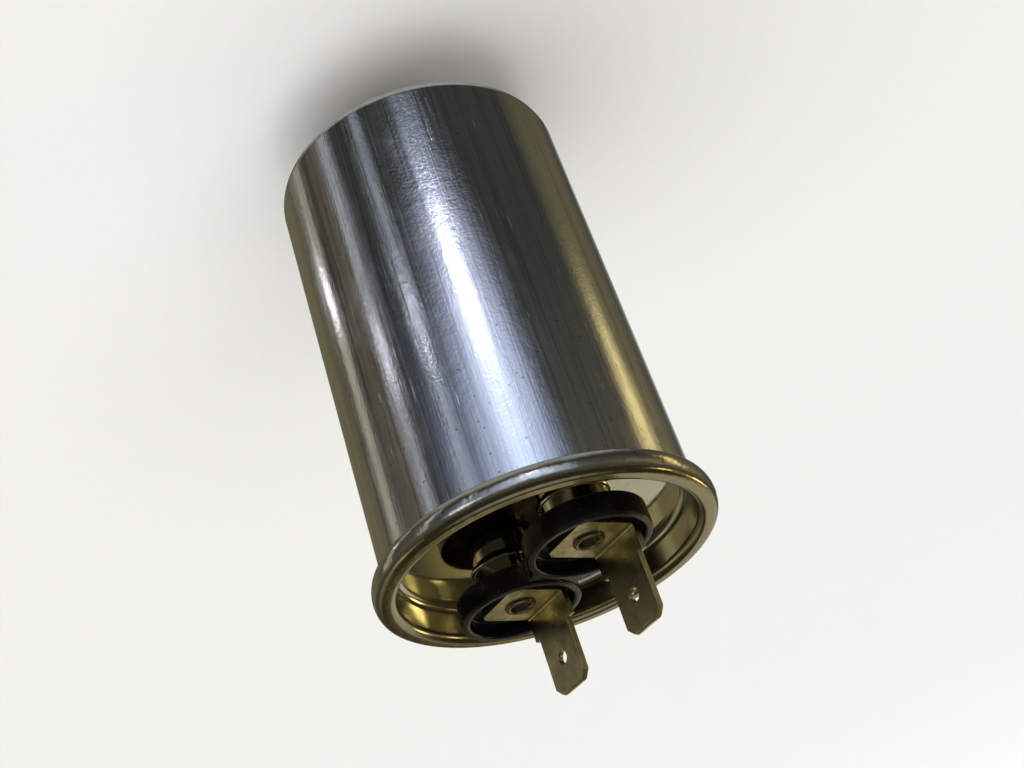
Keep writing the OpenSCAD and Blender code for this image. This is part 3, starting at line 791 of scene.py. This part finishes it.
class CAPACITOR_OT_tabs(bpy.types.Operator):
    """Makes the two push-on tabs: pressed from sheet, bent once, with rounded cut edges"""
    bl_idname = "capacitor.tabs"
    bl_label = "Push-on tabs"

    def execute(self, context):
        settings = context.scene.capacitor
        metal = tinned_brass("tinned_brass_sheet", settings.finish.tinned)
        for node in ("tab_a", "tab_b"):
            piece = self.press(node, settings.tab, settings.block.bore)
            dress(piece, metal, [node], edge=settings.tab.edge)
        return {"FINISHED"}

    def press(self, node, tab, bore):
        """Tab cut out of what its side, front and plan show, with the holes for detent and rivet."""
        low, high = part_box(node)
        middle = (low.x + high.x) / 2
        half_foot = (high.x - low.x) / 2
        half_blade = tab.blade_width / 2
        foot_top = low.z + tab.sheet
        face = high.y - tab.sheet
        shoulder = foot_top + tab.shoulder
        bend_centre = (face - tab.bend, foot_top + tab.bend)
        side_view = (
            [(low.y, foot_top), (low.y, low.z)]
            + arc(bend_centre, tab.bend + tab.sheet, -90, 0)
            + [(high.y, high.z - tab.tip_bevel), (high.y - tab.tip_bevel, high.z),
               (face + tab.tip_bevel, high.z), (face, high.z - tab.tip_bevel)]
            + arc(bend_centre, tab.bend, 0, -90))
        # The outlines run a little past the sheet, so that the cuts are clean
        past = tab.sheet
        half_front = [
            (half_foot, low.z - past), (half_foot, shoulder), (half_blade, shoulder),
            (half_blade, high.z - tab.tip_cut), (half_blade - tab.tip_cut - past, high.z + past)]
        front_view = half_front + [(-u, v) for u, v in reversed(half_front)]
        cut = tab.foot_cut
        plan_view = [
            (-half_foot, high.y + past), (-half_foot, low.y + cut),
            (-half_foot + cut + past, low.y - past), (half_foot - cut - past, low.y - past),
            (half_foot, low.y + cut), (half_foot, high.y + past)]
        detent = arc((0, high.z - tab.hole_drop), tab.hole / 2, 0, 360)[:-1]
        rivet_hole = arc((0, 0), bore, 0, 360)[:-1]

        def from_side(u, v, depth):
            return middle + depth, u, v

        def from_front(u, v, depth):
            return middle + u, depth, v

        def from_above(u, v, depth):
            return middle + u, v, depth

        piece = make_object(
            f"pressed_{node}", prism(side_view, -half_foot - past, half_foot + past, from_side))
        combine(piece, prism(front_view, low.y - past, high.y + past, from_front), "INTERSECT")
        combine(piece, prism(plan_view, low.z - past, high.z + past, from_above), "INTERSECT")
        combine(piece, prism(detent, face - past, high.y + past, from_front), "DIFFERENCE")
        combine(piece, prism(rivet_hole, low.z - past, foot_top + past, from_above), "DIFFERENCE")
        return piece


class CAPACITOR_OT_rivets(bpy.types.Operator):
    """Makes the two rivets: clinched end, shank and a head rolled round a dimple"""
    bl_idname = "capacitor.rivets"
    bl_label = "Rivets"

    def execute(self, context):
        settings = context.scene.capacitor
        rivet = settings.rivet
        metal = tinned_brass("tinned_brass_rivet", settings.finish.rivet)
        for node in ("rivet_a", "rivet_b"):
            low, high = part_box(node)
            clinch = (high.x - low.x) / 2
            clinch_top = low.z + rivet.clinch_height
            seat = high.z - rivet.head_height
            floor = high.z - rivet.dimple_depth
            ring_middle = (rivet.head + rivet.dimple) / 2
            ring_half = (rivet.head - rivet.dimple) / 2
            # Half an ellipse, from the head's edge over the rolled ring into the dimple
            rolled = [(ring_middle + u * ring_half, seat + v * rivet.head_height)
                      for u, v in arc((0, 0), 1, 0, 180)]
            profile = (
                [(0, low.z), (clinch, low.z), (clinch, clinch_top),
                 (rivet.shank, clinch_top), (rivet.shank, seat)]
                + rolled + [(rivet.dimple_floor, floor), (0, floor)])
            piece = make_object(
                f"rolled_{node}", revolve(profile, (low.x + high.x) / 2, steps=SMALL_TURN_STEPS))
            dress(piece, metal, [node])
        return {"FINISHED"}


class CAPACITOR_OT_label(bpy.types.Operator):
    """Makes the bare film label on the can's wall"""
    bl_idname = "capacitor.label"
    bl_label = "Label"

    def execute(self, context):
        settings = context.scene.capacitor
        label = settings.label
        low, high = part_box("label")
        inner = seam_layers(settings.lid, settings.can)["can_radius"] + label.glue
        outer = inner + label.film
        profile = [(inner, low.z), (outer, low.z), (outer, high.z), (inner, high.z)]
        steps = round(TURN_STEPS * label.angle / math.tau)
        piece = make_object("label_film", revolve(
            profile, start=label.facing - label.angle / 2, turn=label.angle, steps=steps))
        dress(piece, metallised_film(settings.finish), ["label"])
        return {"FINISHED"}


class CAPACITOR_OT_inside(bpy.types.Operator):
    """Gives each piece inside the can its material"""
    bl_idname = "capacitor.inside"
    bl_label = "Pieces inside"

    def execute(self, context):
        finishes = {name: inner_finish(name) for name in INNER_FINISHES}
        for node, name in INNER_PIECES.items():
            for slot in frame["nodes"][node].material_slots:
                slot.material = finishes[name]
        return {"FINISHED"}


# Stage


# Wide soft lamps as name, azimuth and height angle, width as an angle, all in degrees, and strength.
# They light the sweep and the plastics. The metal mirrors the panels below instead.
LAMPS = (
    ("top_lamp", 300, 72, 70, 2.15),
    ("key_lamp", 190, 48, 40, 0.7),
)
# Soft panels round a dim studio that the metal mirrors: azimuth and half width, height angle and half
# height, all in degrees, strength and colour
PANELS = (
    # Cool streak down the can's front, with its glint
    (214, 9, -25, 14, 0.75, "#d6e6ff"),
    (215, 23, -18, 13, 0.55, "#cfe0ff"),
    (228, 38, -18, 14, 0.24, "#c9d6ff"),
    (214.5, 1.2, -36, 0.5, 38.0, "#f4f2ff"),
    (214.5, 4, -36, 3, 1.30, "#f0eeff"),
    (213, 20, -34.5, 4, 0.45, "#dde2ff"),
    # Shine along the seam's outer wall
    (257, 10, -6, 4, 1.40, "#f4f6ff"),
    # Dim side of the can, then its gold streak and edge
    (154, 26, -16, 14, 0.05, "#e8e0b0"),
    (115.5, 4.5, -21, 10, 1.50, "#ffe59c"),
    (100, 22, -26, 16, 0.12, "#e0cc78"),
    # Thin streaks on the can's other side, each with its glint
    (256, 2.4, -31, 12, 0.65, "#dfeaf8"),
    (256, 0.7, -35, 0.5, 11.0, "#f4f2ff"),
    (289.5, 3.2, -28, 18, 0.60, "#dfeaf8"),
    (289.5, 0.9, -34, 0.6, 8.0, "#f4f2ff"),
    (300, 14, -26, 18, 0.10, "#c8b070"),
    (329, 5, -28, 18, 0.52, "#f0e8cc"),
    (330, 1.1, -37, 0.7, 10.0, "#f4f2ff"),
    # Back of the can, and the label
    (8, 24, -28, 18, 0.14, "#e8d48a"),
    (46, 16, -16, 22, 0.55, "#f4f4f6"),
    # Gold on the seam
    (125, 28, -10, 8, 0.12, "#ffe07a"),
    # Lid: its lip and panel, its wall with two flares, then feet and necks
    (58, 16, 20, 14, 0.56, "#fffadd"),
    (39.5, 3.5, 25, 8, 0.24, "#f0d880"),
    (104, 22, 24, 9, 0.15, "#ffe065"),
    (90, 6, 19.5, 4, 4.60, "#ffec90"),
    (122, 4, 28.5, 3, 5.00, "#ffec90"),
    (319, 8, 23.5, 6, 0.30, "#fff0c8"),
    (340, 36, 25, 8, 0.28, "#fff0b2"),
)
# Share of a panel's half size over which each of its edges fades, inwards and outwards
PANEL_FADE = 0.4
# The room itself as height angle, brightness and colour: pale floor, dim warm walls, soft ceiling
ROOM = (
    (-90, 0.40, "#f7f7ef"),
    (-65, 0.40, "#f7f7ef"),
    (-48, 0.05, "#f7f7ef"),
    (-20, 0.05, "#f7f7ef"),
    (-8, 0.09, "#f7f7ef"),
    (10, 0.09, "#fbf4d4"),
    (20, 0.04, "#fff0b8"),
    (58, 0.04, "#fff0b8"),
    (80, 0.45, "#f7f7f2"),
)
# Shares of the sweep's radius that its bend and its wall take
SWEEP_BEND = 0.3
SWEEP_WALL = 0.5


class CAPACITOR_OT_stage(bpy.types.Operator):
    """Sets the pale sweep, the soft lamps, the studio that the metal mirrors, and the camera"""
    bl_idname = "capacitor.stage"
    bl_label = "Stage"

    def execute(self, context):
        settings = context.scene.capacitor
        stage = settings.stage
        self.make_sweep(stage.sweep, settings.finish.floor)
        for lamp in LAMPS:
            self.make_lamp(*lamp)
        self.make_studio(context.scene)
        self.make_camera(context.scene, stage)
        context.scene.view_settings.view_transform = "Standard"
        return {"FINISHED"}

    def make_sweep(self, reach, pale):
        """Paper floor under the stud's tip that curves up all round into a wall. It is matt, white and
        faintly fibrous. The metal mirrors the studio instead."""
        level = CAD_BOX[0][2]
        bend = reach * SWEEP_BEND
        profile = (
            [(0, level)]
            + arc((reach - bend, level + bend), bend, -90, 0)
            + [(reach, level + reach * SWEEP_WALL)])
        mesh = bmesh.new()
        points = [mesh.verts.new((radius, 0, height)) for radius, height in profile]
        edges = [mesh.edges.new(pair) for pair in zip(points, points[1:])]
        bmesh.ops.spin(mesh, geom=points + edges, axis=(0, 0, 1), cent=(0, 0, 0), angle=math.tau,
                       steps=SMALL_TURN_STEPS, use_merge=True)
        bmesh.ops.remove_doubles(mesh, verts=mesh.verts, dist=MM)
        bmesh.ops.recalc_face_normals(mesh, faces=mesh.faces)
        sweep = make_object("studio_sweep", mesh)
        sweep.data.shade_smooth()
        sweep.visible_glossy = False
        material, tree, where = start_material("matt_paper")
        fibre = add(tree, "TexNoise", {"Vector": where, "Scale": grain(1.5), "Detail": 3})
        tone = add(tree, "Mix", {
            "Factor": fibre.outputs["Fac"], "A": shade(pale), "B": shade(pale, 0.97)}, data_type="RGBA")
        sweep.data.materials.append(finish_material(material, {
            "Base Color": tone.outputs["Result"], "Roughness": 0.9, "Specular IOR Level": 0.1}))

    def make_lamp(self, name, azimuth, height, width, strength):
        """Wide lamp far off in a direction, which lights the whole sweep evenly."""
        light = bpy.data.lights.new(name, "SUN")
        light.angle = math.radians(width)
        light.energy = strength
        lamp = bpy.data.objects.new(name, light)
        lamp.visible_glossy = False
        around, up = math.radians(azimuth), math.radians(height)
        out = Vector((math.cos(around) * math.cos(up), math.sin(around) * math.cos(up), math.sin(up)))
        lamp.rotation_euler = out.to_track_quat("Z", "Y").to_euler()
        bpy.context.collection.objects.link(lamp)

    def make_studio(self, scene):
        """World of a dim studio under a soft ceiling, with the panels that the metal mirrors."""
        world = bpy.data.worlds.new("studio")
        world.use_nodes = True
        tree = world.node_tree
        tree.nodes.clear()
        aim = add(tree, "TexCoord").outputs["Generated"]
        level = add(tree, "VectorMath", {0: aim, 1: (1, 1, 0)}, operation="MULTIPLY")
        around = add(tree, "VectorMath", {0: level.outputs[0]}, operation="NORMALIZE")
        rise = add(tree, "SeparateXYZ", {0: aim}).outputs["Z"]
        lifted = add(tree, "Math", {0: rise, 1: 0.5, 2: 0.5}, operation="MULTIPLY_ADD")
        room = add(tree, "ValToRGB", {"Fac": lifted.outputs[0]})
        room.color_ramp.interpolation = "EASE"
        stops = room.color_ramp.elements
        for index, (height, brightness, code) in enumerate(ROOM):
            position = (1 + math.sin(math.radians(height))) / 2
            stop = stops[index] if index < 2 else stops.new(position)
            stop.position = position
            stop.color = shade(linear(code), brightness)
        light = room.outputs["Color"]
        for azimuth, half_width, height, half_height, strength, code in PANELS:
            turn = math.radians(azimuth)
            across = add(tree, "VectorMath", {
                0: around.outputs[0], 1: (math.cos(turn), math.sin(turn), 0)}, operation="DOT_PRODUCT")
            glow = add(tree, "MapRange", {
                "Value": across.outputs["Value"],
                "From Min": math.cos(math.radians(half_width * (1 + PANEL_FADE))),
                "From Max": math.cos(math.radians(half_width * (1 - PANEL_FADE))),
                "To Max": strength}, interpolation_type="SMOOTHSTEP")
            off = add(tree, "Math", {0: rise, 1: math.sin(math.radians(height))},
                      operation="SUBTRACT")
            tall = add(tree, "Math", {0: off.outputs[0]}, operation="ABSOLUTE")
            fade = add(tree, "MapRange", {
                "Value": tall.outputs[0],
                "From Min": math.sin(math.radians(half_height * (1 - PANEL_FADE))),
                "From Max": math.sin(math.radians(half_height * (1 + PANEL_FADE))),
                "To Min": 1, "To Max": 0}, interpolation_type="SMOOTHSTEP")
            both = add(tree, "Math", {0: glow.outputs["Result"], 1: fade.outputs["Result"]},
                       operation="MULTIPLY")
            beam = add(tree, "VectorMath", {0: linear(code), "Scale": both.outputs[0]},
                       operation="SCALE")
            lit = add(tree, "VectorMath", {0: light, 1: beam.outputs[0]}, operation="ADD")
            light = lit.outputs[0]
        background = add(tree, "Background", {"Color": light})
        add(tree, "OutputWorld", {"Surface": background.outputs[0]})
        scene.world = world

    def make_camera(self, scene, stage):
        """Camera at the photograph's viewing angle, rolled as the photograph is."""
        lens = bpy.data.cameras.new("camera")
        lens.lens = stage.lens
        lens.clip_start = 5 * MM
        camera = bpy.data.objects.new("camera", lens)
        camera.location = stage.camera
        back = Vector(stage.camera) - Vector(stage.aim)
        upright = back.to_track_quat("Z", "Y").to_matrix()
        camera.rotation_euler = (upright @ Matrix.Rotation(-stage.roll, 3, "Z")).to_euler()
        bpy.context.collection.objects.link(camera)
        scene.camera = camera


class CAPACITOR_PT_panel(bpy.types.Panel):
    """Lists the capacitor's operators and sizes"""
    bl_idname = "CAPACITOR_PT_panel"
    bl_label = "Capacitor"
    bl_space_type = "VIEW_3D"
    bl_region_type = "UI"
    bl_category = "Capacitor"

    def draw(self, context):
        for operator in OPERATORS:
            self.layout.operator(operator.bl_idname)
        settings = context.scene.capacitor
        for group in (settings.can, settings.lid, settings.block, settings.tab, settings.rivet,
                      settings.label, settings.finish, settings.stage):
            box = self.layout.box()
            for name in group.bl_rna.properties.keys():
                if name not in {"rna_type", "name"}:
                    box.prop(group, name)


OPERATORS = (
    CAPACITOR_OT_can, CAPACITOR_OT_lid, CAPACITOR_OT_block, CAPACITOR_OT_tabs, CAPACITOR_OT_rivets,
    CAPACITOR_OT_label, CAPACITOR_OT_inside, CAPACITOR_OT_stage,
)
CLASSES = (
    CanSizes, LidSizes, BlockSizes, TabSizes, RivetSizes, LabelSizes, Finishes, Stage,
    CapacitorSettings, *OPERATORS, CAPACITOR_PT_panel,
)


def register():
    for cls in CLASSES:
        bpy.utils.register_class(cls)
    bpy.types.Scene.capacitor = PointerProperty(type=CapacitorSettings)


def unregister():
    del bpy.types.Scene.capacitor
    for cls in reversed(CLASSES):
        bpy.utils.unregister_class(cls)


def main():
    register()
    bpy.ops.capacitor.can()
    bpy.ops.capacitor.lid()
    bpy.ops.capacitor.block()
    bpy.ops.capacitor.tabs()
    bpy.ops.capacitor.rivets()
    bpy.ops.capacitor.label()
    bpy.ops.capacitor.inside()
    bpy.ops.capacitor.stage()


if __name__ == "__main__":
    main()
